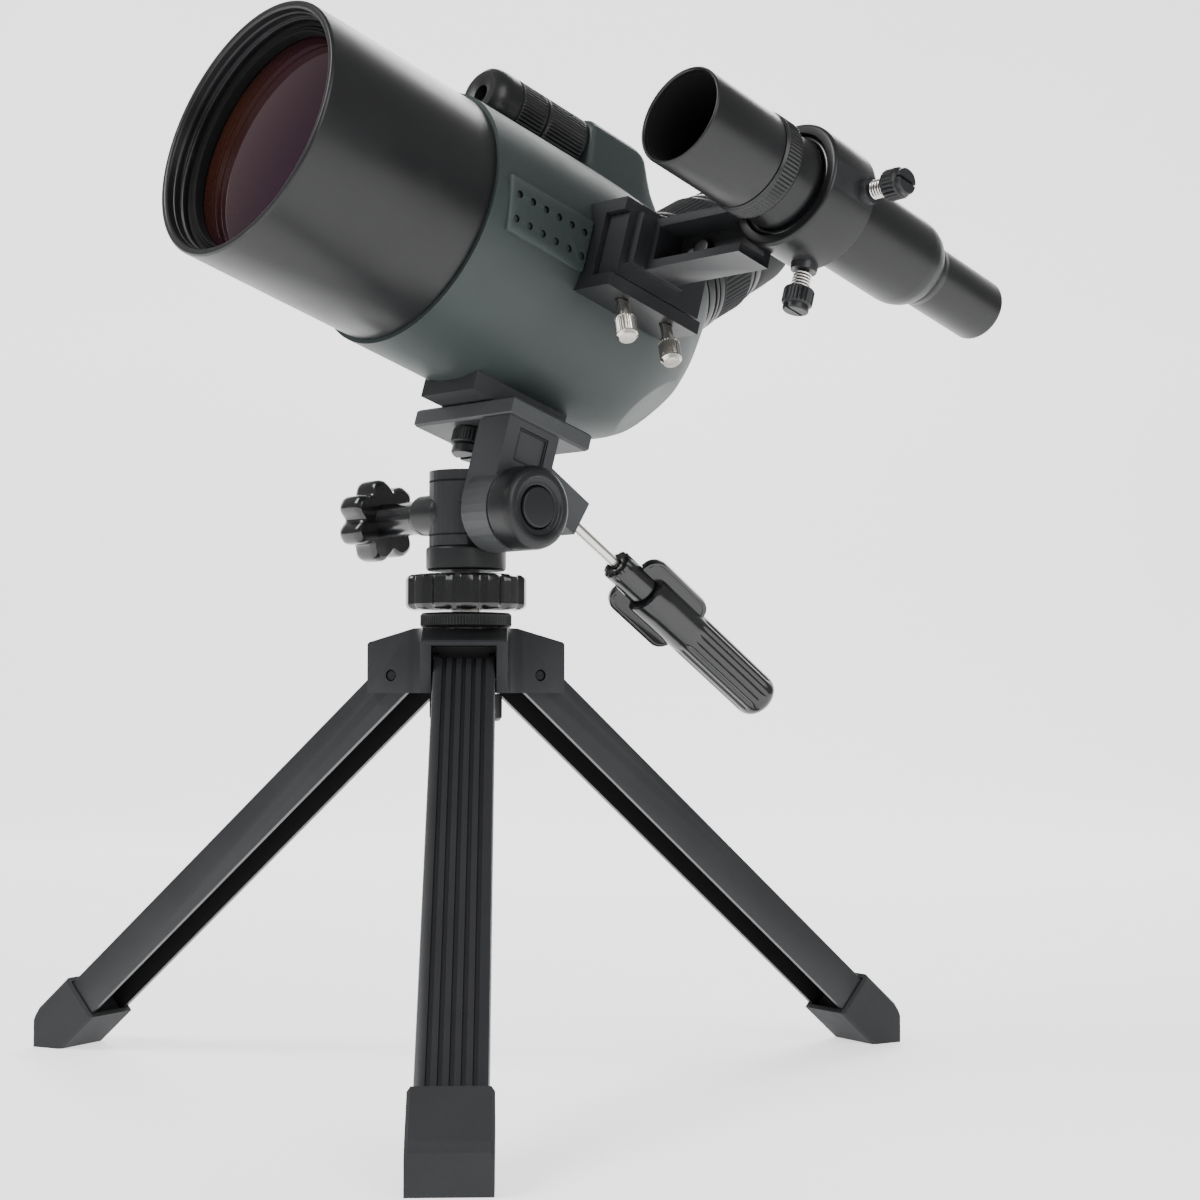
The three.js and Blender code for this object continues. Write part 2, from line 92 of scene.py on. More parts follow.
TUBE_AXIS = Vector(JOINTS["focus_travel"]["axis"])
TUBE_UP = RIGHT.cross(TUBE_AXIS)
TUBE_ORIGIN = Vector(JOINTS["coarse_focus_turn"]["pos_m"]) - TUBE_UP * KNOB_HEIGHT * MM
TUBE = local_frame(TUBE_ORIGIN, TUBE_AXIS, RIGHT)
HOOD = shifted(TUBE, y=-HOOD_FORWARD)
KNOBS = shifted(TUBE, z=KNOB_HEIGHT)
BRACKET = shifted(TUBE, FINDER_X, 0, FINDER_Z)
EYE = joint_frame("zoom_turn")
FINDER = joint_frame("sun_hood_turn")
HANDLE = joint_frame("handle_twist")
TILT = local_frame(JOINTS["tilt"]["pos_m"], TUBE_AXIS, RIGHT)
HEAD = local_frame(JOINTS["tilt"]["pos_m"], (0, 1, 0), RIGHT)
PAN = Vector(JOINTS["pan"]["pos_m"])
FLOOR = Matrix.Translation((PAN.x, PAN.y, 0))


# ---------------------------------------------------------------- materials
def shader(name, color, roughness, metallic=0.0, coat=0.0, specular=0.5):
    material = bpy.data.materials.new(name)
    material.use_nodes = True
    nodes = material.node_tree.nodes
    bsdf = nodes["Principled BSDF"]
    bsdf.inputs["Base Color"].default_value = (*color, 1)
    bsdf.inputs["Roughness"].default_value = roughness
    bsdf.inputs["Metallic"].default_value = metallic
    bsdf.inputs["Coat Weight"].default_value = coat
    bsdf.inputs["Coat Roughness"].default_value = 0.12
    bsdf.inputs["Specular IOR Level"].default_value = specular
    return material, nodes, material.node_tree.links, bsdf


def noise(nodes, links, scale, detail=3.0, stretch=(1, 1, 1)):
    place = nodes.new("ShaderNodeTexCoord")
    mapping = nodes.new("ShaderNodeMapping")
    mapping.inputs["Scale"].default_value = stretch
    texture = nodes.new("ShaderNodeTexNoise")
    texture.inputs["Scale"].default_value = scale
    texture.inputs["Detail"].default_value = detail
    links.new(place.outputs["Object"], mapping.inputs["Vector"])
    links.new(mapping.outputs["Vector"], texture.inputs["Vector"])
    return texture.outputs["Fac"]


def ramp(nodes, links, source, low, high, start=0.3, end=0.7):
    node = nodes.new("ShaderNodeValToRGB")
    node.color_ramp.elements[0].position = start
    node.color_ramp.elements[0].color = (*low, 1)
    node.color_ramp.elements[1].position = end
    node.color_ramp.elements[1].color = (*high, 1)
    links.new(source, node.inputs["Fac"])
    return node.outputs["Color"]


def mixed(nodes, links, factor, first, second):
    """Mixes two colours. The mix node holds its colour sockets at 6 and 7 and its colour result at 2."""
    node = nodes.new("ShaderNodeMix")
    node.data_type = "RGBA"
    links.new(factor, node.inputs[0])
    links.new(first, node.inputs[6])
    links.new(second, node.inputs[7])
    return node.outputs[2]


def surface(name, color, roughness, metallic=0.0, coat=0.0, grain=900, bump=0.05, vary=0.18,
            edge=1.6, specular=0.5, stretch=(1, 1, 1)):
    """Moulded or coated surface: cloudy colour, uneven gloss, a fine grain and lighter colour on sharp convex
    crests.
    """
    material, nodes, links, bsdf = shader(name, color, roughness, metallic, coat, specular)

    def brighter(amount):
        return [min(1, channel * amount) for channel in color]

    cloud = noise(nodes, links, 28, 4.0)
    body = ramp(nodes, links, cloud, brighter(1 - vary), brighter(1 + vary))
    # The colour turns lighter on the shape's sharp convex crests, found by pointiness only.
    crest_colour = ramp(nodes, links, cloud, brighter(edge), brighter(edge * 1.2))
    geometry = nodes.new("ShaderNodeNewGeometry")
    crest = ramp(nodes, links, geometry.outputs["Pointiness"], (0, 0, 0), (1, 1, 1), 0.52, 0.62)
    links.new(mixed(nodes, links, crest, body, crest_colour), bsdf.inputs["Base Color"])
    smudge = noise(nodes, links, 60, 5.0)
    gloss = nodes.new("ShaderNodeMapRange")
    gloss.inputs["To Min"].default_value = max(0.03, roughness - 0.07)
    gloss.inputs["To Max"].default_value = roughness + 0.09
    links.new(smudge, gloss.inputs["Value"])
    links.new(gloss.outputs["Result"], bsdf.inputs["Roughness"])
    fine = noise(nodes, links, grain, 2.0, stretch)
    relief = nodes.new("ShaderNodeBump")
    relief.inputs["Strength"].default_value = bump
    relief.inputs["Distance"].default_value = 0.0004
    links.new(fine, relief.inputs["Height"])
    links.new(relief.outputs["Normal"], bsdf.inputs["Normal"])
    return material


def coated_lens(name):
    """Nearly black glass with a painted reflection of its coating: violet facing the camera, amber towards
    grazing angles, and cloudy violet patches.
    """
    material, nodes, links, bsdf = shader(name, (0.004, 0.002, 0.003), 0.03, coat=0.25, specular=0.55)
    bsdf.inputs["Coat Roughness"].default_value = 0.02
    bsdf.inputs["Specular Tint"].default_value = (0.85, 0.35, 0.80, 1)
    # Painted reflection: the base colour goes from violet facing the camera to amber at grazing angles, mixed
    # with cloudy violet patches.
    weight = nodes.new("ShaderNodeLayerWeight")
    weight.inputs["Blend"].default_value = 0.35
    violet, amber = (0.004, 0.0015, 0.004), (0.09, 0.028, 0.008)
    painted_reflection = ramp(nodes, links, weight.outputs["Facing"], violet, amber, 0.25, 0.95)
    reflection_patch_noise = noise(nodes, links, 22, 2.0)
    painted_violet_patches = ramp(nodes, links, reflection_patch_noise, (0.003, 0.001, 0.003), (0.016, 0.004, 0.014))
    links.new(mixed(nodes, links, reflection_patch_noise, painted_reflection, painted_violet_patches), bsdf.inputs["Base Color"])
    return material


SATIN = surface("satin_black_coat", (0.0075, 0.0078, 0.0085), 0.34, grain=1400, vary=0.15, edge=2.2,
                specular=0.42)
ARMOUR = surface("green_armour_rubber", (0.027, 0.0365, 0.035), 0.48, grain=1800, bump=0.08, vary=0.08,
                 edge=1.4, specular=0.34)
RUBBER = surface("black_rubber", (0.014, 0.0145, 0.0155), 0.70, grain=1200, bump=0.18, vary=0.15,
                 specular=0.3)
LEG = surface("leg_satin_metal", (0.0085, 0.0088, 0.0096), 0.36, grain=1500, vary=0.12, edge=2.2,
              specular=0.38)
GREY = surface("grey_moulded_plastic", (0.034, 0.036, 0.038), 0.46, grain=1100, bump=0.12, vary=0.10,
               edge=1.35, specular=0.35)
DARK = surface("dark_moulded_plastic", (0.009, 0.0096, 0.0105), 0.38, grain=1100, bump=0.08, vary=0.14,
               edge=1.8, specular=0.38)
GLOSS = surface("gloss_black_plastic", (0.006, 0.0063, 0.007), 0.20, coat=0.35, bump=0.03, vary=0.12,
                edge=2.0)
NICKEL = surface("nickel_plate", (0.62, 0.59, 0.54), 0.22, metallic=1.0, grain=1500, vary=0.10, edge=1.15)
STEEL = surface("bright_steel_rod", (0.72, 0.70, 0.67), 0.20, metallic=1.0, grain=1600, vary=0.08, edge=1.1,
                stretch=(1, 12, 12))
PIN = surface("blackened_steel_pin", (0.012, 0.0125, 0.0135), 0.34, metallic=0.6, grain=1300, vary=0.12,
              edge=1.8, specular=0.4)
# Near-black matt finish of the blackened bores and inner parts. It is also laid in the vent holes, the
# clamp's grooves and the legs' channels as painted shade.
BORE_BLACK_AND_PAINTED_SHADE = surface("blackened_bore_and_painted_shade", (0.0035, 0.0035, 0.004), 0.75, grain=700, bump=0.2, vary=0.3, edge=1.2,
                   specular=0.2)
LENS = coated_lens("violet_coated_glass")
CLEAR = surface("inner_glass", (0.05, 0.06, 0.065), 0.06, coat=1.0, grain=500, bump=0.01, vary=0.10,
                edge=1.1, specular=0.8)

# ---------------------------------------------------------------- loose shapes and their finishing
SMOOTH_ANGLE = math.radians(32)


def mark_sharp(mesh, angle=SMOOTH_ANGLE):
    """Turns the faces outwards and shades them smooth across every edge that bends less than the angle."""
    shape = bmesh.new()
    shape.from_mesh(mesh)
    bmesh.ops.recalc_face_normals(shape, faces=shape.faces)
    for face in shape.faces:
        face.smooth = True
    for edge in shape.edges:
        edge.smooth = len(edge.link_faces) == 2 and edge.calc_face_angle(0) < angle
    shape.to_mesh(mesh)
    shape.free()


def apply_modifiers(obj):
    bpy.context.view_layer.update()
    graph = bpy.context.evaluated_depsgraph_get()
    mesh = bpy.data.meshes.new_from_object(obj.evaluated_get(graph))
    obj.modifiers.clear()
    obj.data = mesh


def add_bevel(obj, width, segments, angle):
    modifier = obj.modifiers.new("rounded edges", "BEVEL")
    modifier.width = width * MM
    modifier.segments = segments
    modifier.limit_method = "ANGLE"
    modifier.angle_limit = math.radians(angle)
    return modifier


def soften(obj, width):
    """Rounds the edges of a loose shape for good."""
    modifier = add_bevel(obj, width, 2, 35)
    modifier.harden_normals = False
    apply_modifiers(obj)


def boolean(obj, other, operation):
    """Joins or cuts a loose shape with another one, which is used up."""
    modifier = obj.modifiers.new("shape", "BOOLEAN")
    modifier.operation = operation
    modifier.solver = "EXACT"
    modifier.object = other
    apply_modifiers(obj)
    bpy.data.objects.remove(other)


def solid(name, points, faces, place, material, bevel=0.0):
    """A loose shape from local points in mm, smooth where its faces bend gently."""
    mesh = bpy.data.meshes.new(name)
    mesh.from_pydata([place @ (Vector(p) * MM) for p in points], [], faces)
    obj = bpy.data.objects.new(name, mesh)
    bpy.context.scene.collection.objects.link(obj)
    if bevel:
        soften(obj, bevel)
    mark_sharp(mesh)
    mesh.materials.append(material)
    return obj


def resurface(obj, *materials, angle=SMOOTH_ANGLE):
    """Gives a cut or joined shape its shading again, and its materials, of which its faces take the first."""
    mark_sharp(obj.data, angle)
    obj.data.materials.clear()
    for material in materials:
        obj.data.materials.append(material)


def settle(obj, body, nodes=()):
    """Makes a loose shape a piece that rides on a body and stands in for its CAD nodes."""
    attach(obj, body)
    if nodes:
        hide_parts(*nodes)


def own_node(name):
    """The CAD node that a piece of this name stands in for, where there is one."""
    return [name] if name in frame["nodes"] else []


def piece(name, points, faces, place, material, body):
    obj = solid(name, points, faces, place, material)
    settle(obj, body, own_node(name))


def dress(node, material, bevel, segments=3):
    """Gives a CAD node that keeps its shape a material and, on its visible copy, rounded edges."""
    obj = frame["nodes"][node]
    obj.data.materials.clear()
    obj.data.materials.append(material)
    add_bevel(obj, bevel, segments, 40)


# ---------------------------------------------------------------- faces, outlines and blocks, in millimetres
def ring_faces(rings, around, joined=False):
    """Faces over a stack of rings of points, with flat ends, or joined back to the first ring."""
    last = (rings - 1) * around
    faces = [] if joined else [tuple(range(around))[::-1], tuple(range(last, last + around))]
    for i in range(rings if joined else rings - 1):
        low = i * around
        high = (i + 1) % rings * around
        for k in range(around):
            n = (k + 1) % around
            faces.append((low + k, low + n, high + n, high + k))
    return faces


def extruded(outline, low, high, axis):
    """Points and faces of an outline of pairs, taken from low to high along the axis that they leave out."""
    points = []
    for level in (low, high):
        for pair in outline:
            point = list(pair)
            point.insert(axis, level)
            points.append(tuple(point))
    return points, ring_faces(2, len(outline))


def block(low, high, place):
    """A loose box between two corners."""
    outline = [(low[0], low[1]), (high[0], low[1]), (high[0], high[1]), (low[0], high[1])]
    points, faces = extruded(outline, low[2], high[2], axis=2)
    return solid("block", points, faces, place, BORE_BLACK_AND_PAINTED_SHADE)


def cylinder(radius, low, high):
    return [(0, low), (radius, low), (radius, high), (0, high)]


def sleeve(inner, outer, low, high):
    return [(inner, low), (outer, low), (outer, high), (inner, high)]


def dome(radius, crown, sag, steps):
    """Curve of a lens face, from its middle out to its rim."""
    return [(radius * k / steps, crown + sag * (k / steps) ** 2) for k in range(steps + 1)]


def fill(low, high, step):
    """Even heights from low up to high, about a step apart."""
    count = max(1, round((high - low) / step))
    return [low + (high - low) * k / count for k in range(count + 1)]


def wall(radius, low, high, step):
    """A straight stretch of outline with the rows of points that grooves need."""
    return [(radius, y) for y in fill(low, high, step)]


def is_ring(outline):
    """Whether an outline of [radius, y] pairs has to be closed on itself, because an end is off the axis."""
    return outline[0][0] > 0 or outline[-1][0] > 0


def rounded(outline, radius, steps=3):
    """Rounds the corners of an outline of [radius, y] pairs. Ends on the axis stay as they are."""
    result = []
    count = len(outline)
    for i, point in enumerate(outline):
        if not is_ring(outline) and i in (0, count - 1):
            result.append(tuple(point))
            continue
        here = Vector(point)
        before = Vector(outline[i - 1]) - here
        after = Vector(outline[(i + 1) % count]) - here
        reach = min(radius, before.length * 0.45, after.length * 0.45)
        start = here + before.normalized() * reach
        end = here + after.normalized() * reach
        for k in range(steps + 1):
            t = k / steps
            result.append(tuple(start * (1 - t) ** 2 + here * 2 * t * (1 - t) + end * t ** 2))
    return result


# ---------------------------------------------------------------- turned shapes
def turned_mesh(outline, around, shape):
    """Points and faces of a shape turned about Y. shape(angle, radius, y) adds to the radius."""
    points = []
    rings = []
    for radius, y in outline:
        if radius <= 1e-6:
            points.append((0, y, 0))
            rings.append([len(points) - 1])
            continue
        first = len(points)
        for k in range(around):
            angle = 2 * math.pi * k / around
            r = radius + (shape(angle, radius, y) if shape else 0)
            points.append((r * math.cos(angle), y, r * math.sin(angle)))
        rings.append(list(range(first, first + around)))
    faces = []
    pairs = list(zip(rings, rings[1:]))
    if is_ring(outline):
        pairs.append((rings[-1], rings[0]))
    for low, high in pairs:
        for k in range(around):
            n = (k + 1) % around
            if len(low) == 1:
                faces.append((low[0], high[n], high[k]))
            elif len(high) == 1:
                faces.append((low[k], low[n], high[0]))
            else:
                faces.append((low[k], low[n], high[n], high[k]))
    return points, faces


def turned_solid(name, outline, place, material, around=96, soft=0.35, shape=None):
    """A loose shape turned about the place's Y, with its corners softened by a radius in mm."""
    smooth = rounded(outline, soft) if soft else outline
    points, faces = turned_mesh(smooth, around, shape)
    return solid(name, points, faces, place, material)


def turned(name, outline, place, material, body, around=96, soft=0.35, shape=None):
    obj = turned_solid(name, outline, place, material, around, soft, shape)
    settle(obj, body, own_node(name))


def ribs(count, depth, low, high, least, sharp=2.0, fade=0.8):
    """A radius change that cuts grooves between low and high, where the radius is least or more."""
    def change(angle, radius, y):
        if radius < least or y < low or y > high:
            return 0
        edge = min(1, (y - low) / fade, (high - y) / fade)
        wave = 0.5 + 0.5 * math.cos(count * angle)
        return -depth * (1 - wave ** (1 / sharp)) * max(edge, 0)
    return change


def drill(obj, place, radius, low, high, around=32):
    """Cuts a round hole about the place's Y."""
    cutter = turned_solid("drill", cylinder(radius, low, high), place, BORE_BLACK_AND_PAINTED_SHADE, around, soft=0)
    boolean(obj, cutter, "DIFFERENCE")


def cut_block(obj, low, high, place):
    boolean(obj, block(low, high, place), "DIFFERENCE")


# ---------------------------------------------------------------- objective hood and lens
def objective():
    skin = [(41.2, 0.8), (42, 0), (43.4, 0), (44, 0.8), (44, 67.9), (39.6, 67.9), (39.6, 22), (40.2, 20.5)]
    throat = [(40.3, 19.5), (40.65, 13.5), (40.95, 12.6), (40.95, 7.6)]
    steps = [(40.4, 7.4), (40.4, 6.2), (41.2, 6.0), (41.2, 4.6), (40.8, 4.4), (40.8, 3.2), (41.2, 3.0)]
    turned("hood", skin + throat + steps, HOOD, SATIN, "scope", around=192, soft=0.3)
    teeth = [(37.8, 8.6), (38.3, 9.2), (38.8, 8.6), (39.3, 9.2), (39.8, 8.6)]
    ring = [(40.7, 12.1), (37.3, 12.1), (37.3, 9.0)] + teeth + [(40.7, 8.3)]
    turned("lens_retaining_ring", ring, HOOD, BORE_BLACK_AND_PAINTED_SHADE, "scope", around=160, soft=0.12)
    radius, back = 38.6, 19
    turned("objective_lens", dome(radius, 8.8, 3.8, 24) + [(radius, back), (0, back)], HOOD, LENS, "scope",
           160, 0)


# ---------------------------------------------------------------- armoured body
# Each section is its top [y, z], its bottom [y, z] and its half width, from the hood to the eyepiece.
SECTIONS = [
    ((56, 45.4), (56, -45.4), 45.4),
    ((95, 45.5), (95, -45.5), 45.5),
    ((122, 45.5), (127, -45.8), 45.2),
    ((138, 45.5), (150, -45), 42.5),
    ((147, 45.5), (167, -39.5), 37.5),
    ((153, 45.2), (180, -29), 32),
    ((157, 45), (189, -14), 27),
    ((159.5, 44.7), (192.8, 0), 24.8),
    ((160.6, 44.4), (194.4, 10.6), 24.2),
]
BODY_FRONT = 63.3
FACET_NORMAL = (0.52, 0.60, -0.61)
FACET_DEPTH = 2.6
PANEL_BACK, PANEL_FACE, HOLE_FLOOR = 41, 46.3, 44.6


def spline(a, b, c, d, t):
    """The value at t between b and c of a smooth curve through all four."""
    bend = 2 * a - 5 * b + 4 * c - d
    twist = 3 * b - a - 3 * c + d
    return 0.5 * (2 * b + (c - a) * t + bend * t * t + twist * t ** 3)


def body_loft(around=96, between=8):
    """Points and faces of a smooth skin over the sections."""
    rows = [(*top, *bottom, half) for top, bottom, half in SECTIONS]
    fine = []
    for i in range(len(rows) - 1):
        before = rows[max(i - 1, 0)]
        after = rows[min(i + 2, len(rows) - 1)]
        for k in range(between):
            t = k / between
            fine.append([spline(*four, t) for four in zip(before, rows[i], rows[i + 1], after)])
    fine.append(rows[-1])
    points = []
    for top_y, top_z, low_y, low_z, half in fine:
        middle_y, middle_z = (top_y + low_y) / 2, (top_z + low_z) / 2
        lean_y, lean_z = (top_y - low_y) / 2, (top_z - low_z) / 2
        for k in range(around):
            a = 2 * math.pi * k / around
            rise = math.sin(a)
            points.append((half * math.cos(a), middle_y + lean_y * rise, middle_z + lean_z * rise))
    return points, ring_faces(len(fine), around)


def focus_hump():
    """Loose shape of the housing behind the focus knobs: a side profile that falls away to both flanks."""
    profile = [(122.3, 36), (122.3, 64.2), (123.6, 65.8), (146.5, 65.6), (149.6, 63.6), (152, 58),
               (155.5, 51.5), (160, 46.4), (162, 36)]
    right = [(0.3, 1.0), (0.62, 0.975), (1.0, 0.86), (1.35, 0.0)]
    columns = [(-across, tall) for across, tall in right[::-1]] + right
    half_width, base = 11.5, 36
    points = []
    for across, tall in columns:
        points += [(across * half_width, y, base + (z - base) * tall) for y, z in profile]
    count = len(profile)
    faces = []
    for c in range(len(columns) - 1):
        low, high = c * count, (c + 1) * count
        faces += [(low + k, low + k + 1, high + k + 1, high + k) for k in range(count - 1)]
    faces.append(tuple(c * count for c in range(len(columns))))
    faces.append(tuple(c * count + count - 1 for c in range(len(columns)))[::-1])
    hump = solid("hump", points, faces, TUBE, ARMOUR)
    # The flanks' points meet in pairs at the base, and the base is open until it is filled here.
    weld = bmesh.new()
    weld.from_mesh(hump.data)
    bmesh.ops.remove_doubles(weld, verts=weld.verts, dist=1e-6)
    bmesh.ops.contextual_create(weld, geom=[e for e in weld.edges if e.is_boundary])
    bmesh.ops.recalc_face_normals(weld, faces=weld.faces)
    weld.to_mesh(hump.data)
    weld.free()
    return hump


def press_rear_facets(mesh):
    """Presses a flat facet into each lower rear corner of the body."""
    to_local = TUBE.inverted()
    across, back, down = FACET_NORMAL
    for side in (1, -1):
        normal = Vector((side * across, back, down)).normalized()
        local = [(to_local @ vertex.co) / MM for vertex in mesh.vertices]
        limit = max(normal.dot(point) for point in local) - FACET_DEPTH
        for vertex, point in zip(mesh.vertices, local):
            over = normal.dot(point) - limit
            if over > 0:
                vertex.co = TUBE @ ((point - normal * over) * MM)


def body():
    points, faces = body_loft()
    shell = solid("body_armour", points, faces, TUBE, ARMOUR)
    boolean(shell, focus_hump(), "UNION")
    blend = shell.modifiers.new("blend", "REMESH")
    blend.mode = "VOXEL"
    blend.voxel_size = 0.9 * MM
    relax = shell.modifiers.new("relax", "SMOOTH")
    relax.iterations = 16
    relax.factor = 0.6
    apply_modifiers(shell)
    press_rear_facets(shell.data)
    drill(shell, KNOBS, 11.5, 77.6, 122.4, around=64)
    cut_block(shell, (-60, 40, -60), (60, BODY_FRONT, 70), TUBE)
    resurface(shell, ARMOUR, angle=math.radians(40))
    settle(shell, "scope", ["body_shell"])
    vent_panel()


def vent_panel():
    """Raised flat panel on the finder's side with two rows of six blind holes."""
    front, rear, bottom, top, slant = 67.5, 105, -8.5, 10, 3.0
    outline = [(front + slant, bottom), (rear, bottom), (rear, top), (front, top)]
    points, faces = extruded(outline, PANEL_BACK, PANEL_FACE, axis=0)
    panel = solid("vent_panel", points, faces, TUBE, ARMOUR, bevel=0.8)
    columns, pitch, radius, first_y, row_shift = 6, 5.9, 1.25, 72.2, 0.9
    for row, z in enumerate((4.6, -3.6)):
        for k in range(columns):
            hole = shifted(TUBE, 0, first_y + pitch * k + row_shift * row, z)
            drill(panel, axis_x(hole), radius, HOLE_FLOOR, PANEL_FACE + 0.7, around=20)
    resurface(panel, ARMOUR, BORE_BLACK_AND_PAINTED_SHADE)
    # Painted shade: the holes' walls and floors take the second, near-black material.
    to_local = TUBE.inverted()
    for polygon in panel.data.polygons:
        middle = (to_local @ polygon.center) / MM
        among_holes = 70 < middle.y < 104 and -7 < middle.z < 8
        if among_holes and HOLE_FLOOR - 0.2 < middle.x < PANEL_FACE - 0.3:
            polygon.material_index = 1
    settle(panel, "scope")


# ---------------------------------------------------------------- focus knobs and the pieces inside
def focus_knobs():
    radius, bore = 11, 3.35
    nose = [(bore, 80), (6, 79.2), (8.2, 79.3), (10.0, 80.8), (10.8, 83), (radius, 85.4)]
    groove = [(10.5, 90), (10.5, 90.6), (radius, 91)]
    fine = nose + wall(radius, 86, 89.6, 1.2) + groove + wall(radius, 91.6, 101.6, 0.5)
    turned("fine_focus_knob", fine + [(radius, 102.2), (bore, 102.2)], KNOBS, SATIN, "fine_focus", around=288,
           soft=0, shape=ribs(48, 0.42, 91, 102, 10.9))
    coarse = [(bore, 103), (10.6, 103), (radius, 103.4)] + wall(radius, 104, 120.8, 0.5)
    coarse += [(radius, 121.2), (10.6, 121.6), (bore, 121.6)]
    turned("coarse_focus_knob", coarse, KNOBS, SATIN, "coarse_focus", around=288, soft=0,
           shape=ribs(48, 0.42, 103.8, 121, 10.9))
    turned("focus_spindle", cylinder(3, 85, 136), KNOBS, STEEL, "scope", 48)


def inner_optics():
    turned("focus_carriage", sleeve(33.4, 38, 78, 98), TUBE, BORE_BLACK_AND_PAINTED_SHADE, "focus_cell")
    turned("focus_lens", [(0, 85), (16, 84.6), (33, 84), (33, 90), (0, 88.5)], TUBE, CLEAR, "focus_cell")
    turned("zoom_carriage", sleeve(9, 14.7, 10, 20), EYE, BORE_BLACK_AND_PAINTED_SHADE, "zoom_cell", 64)
    dress("erecting_prism", CLEAR, 0.4)


# ---------------------------------------------------------------- eyepiece
def eyepiece():
    barrel = [(15, 0.3), (23.6, 0.3), (23.6, 3.6), (22.4, 3.8), (22.4, 4.7), (23.5, 4.9), (23.5, 6.2),
              (22.5, 6.4), (22.5, 7.2), (23.3, 7.4), (23.3, 9.6), (18, 9.7), (18, 42), (15, 42)]
    turned("eyepiece_barrel", barrel, EYE, SATIN, "scope", around=128, soft=0.3)
    ring = [(18.4, 10.1), (22.2, 10.1)] + wall(22.9, 10.8, 26.2, 0.6) + [(22.2, 26.9), (18.4, 26.9)]
    turned("zoom_ring", ring, EYE, RUBBER, "zoom", around=432, soft=0, shape=ribs(72, 0.5, 10.8, 26.2, 22.8))
    collar = [(18.3, 27.3), (21.9, 27.3), (21.9, 29.4), (21.2, 29.6), (21.2, 30.4), (21.9, 30.6),
              (21.9, 32.2), (21.3, 32.5), (21.3, 34.7), (18.3, 34.7)]
    turned("eyepiece_collar", collar, EYE, SATIN, "scope", around=128, soft=0.2)
    cup = [(18.3, 35), (20.8, 35), (21.3, 37.5), (21.2, 45), (20.9, 51.5), (20.2, 54.6), (19.4, 55),
           (18.7, 54.4), (17.7, 49), (17.6, 46), (18.3, 45)]
    turned("eyecup", cup, EYE, RUBBER, "scope", 128, 0.9)
    radius, front = 14.7, 36
    turned("eye_lens", [(0, front), (radius, front)] + dome(radius, 40, -1.6, 10)[::-1], EYE, LENS, "scope",
           96, 0)


# ---------------------------------------------------------------- finder
def finder():
    hood = [(14.9, 0.6), (15.5, 0), (16.1, 0.5), (16.2, 30.9), (13.4, 30.9), (13.4, 26), (14.9, 24)]
    turned("finder_hood", hood, FINDER, SATIN, "sun_hood", around=128, soft=0.3)
    lining = [(14.85, 1.6), (14.85, 23.8), (14.6, 23.8), (14.6, 1.6)]
    turned("finder_hood_lining", lining, FINDER, BORE_BLACK_AND_PAINTED_SHADE, "sun_hood", soft=0.05)
    ring = [(13.4, 31.3), (16.2, 31.3)] + wall(16.75, 32.2, 38.2, 0.4) + [(16.2, 39), (13.4, 39)]
    turned("finder_lock_ring", ring, FINDER, SATIN, "finder_lock", around=400, soft=0,
           shape=ribs(80, 0.4, 32.2, 38.2, 16.7, 1.6, 0.5))
    tube = [(11, 27), (13, 27), (13, 39.4), (14.2, 39.4), (14.3, 41), (14.8, 44), (15.5, 46.8), (15.6, 48.4),
            (14.7, 49.3), (14.7, 53), (15.1, 53.4), (15.1, 108), (14.8, 110.8), (13.8, 113.8), (12.2, 116.2),
            (11.4, 117), (9.3, 117), (9.3, 104), (11, 100)]
    turned("finder_tube", tube, FINDER, SATIN, "finder", around=128, soft=0.8)
    radius, back = 13.1, 26.7
    turned("finder_objective", dome(radius, 22.6, 1.5, 12) + [(radius, back), (0, back)], FINDER, LENS,
           "finder", 96, 0)
    ocular = [(8.3, 117.3), (11.3, 117.3), (11.2, 118.6), (10.8, 120.4), (10.7, 150.2), (10.3, 151),
              (8.9, 151), (8.3, 150.3)]
    turned("finder_ocular", ocular, FINDER, SATIN, "finder", around=112, soft=0.4)
    turned("finder_eye_lens", [(0, 143), (8, 143), (8, 145), (4, 146), (0, 146.4)], FINDER, LENS, "finder",
           64, 0.2)
    seat, height, cord, steps = 16.05, 51.1, 1.25, 20
    turns = [2 * math.pi * k / steps for k in range(steps)]
    o_ring = [(seat + cord * math.cos(a), height + cord * math.sin(a)) for a in turns]
    turned("finder_o_ring", o_ring, FINDER, GLOSS, "finder", 128, 0)


# ---------------------------------------------------------------- finder bracket, its screws and its shoe
ARM_START, ARM_END = 60.3, 106
ARM_FRONT, ARM_BACK = 116, 130
ARM_LOW, ARM_TOP = -5, 13
ARM_WALL = 3


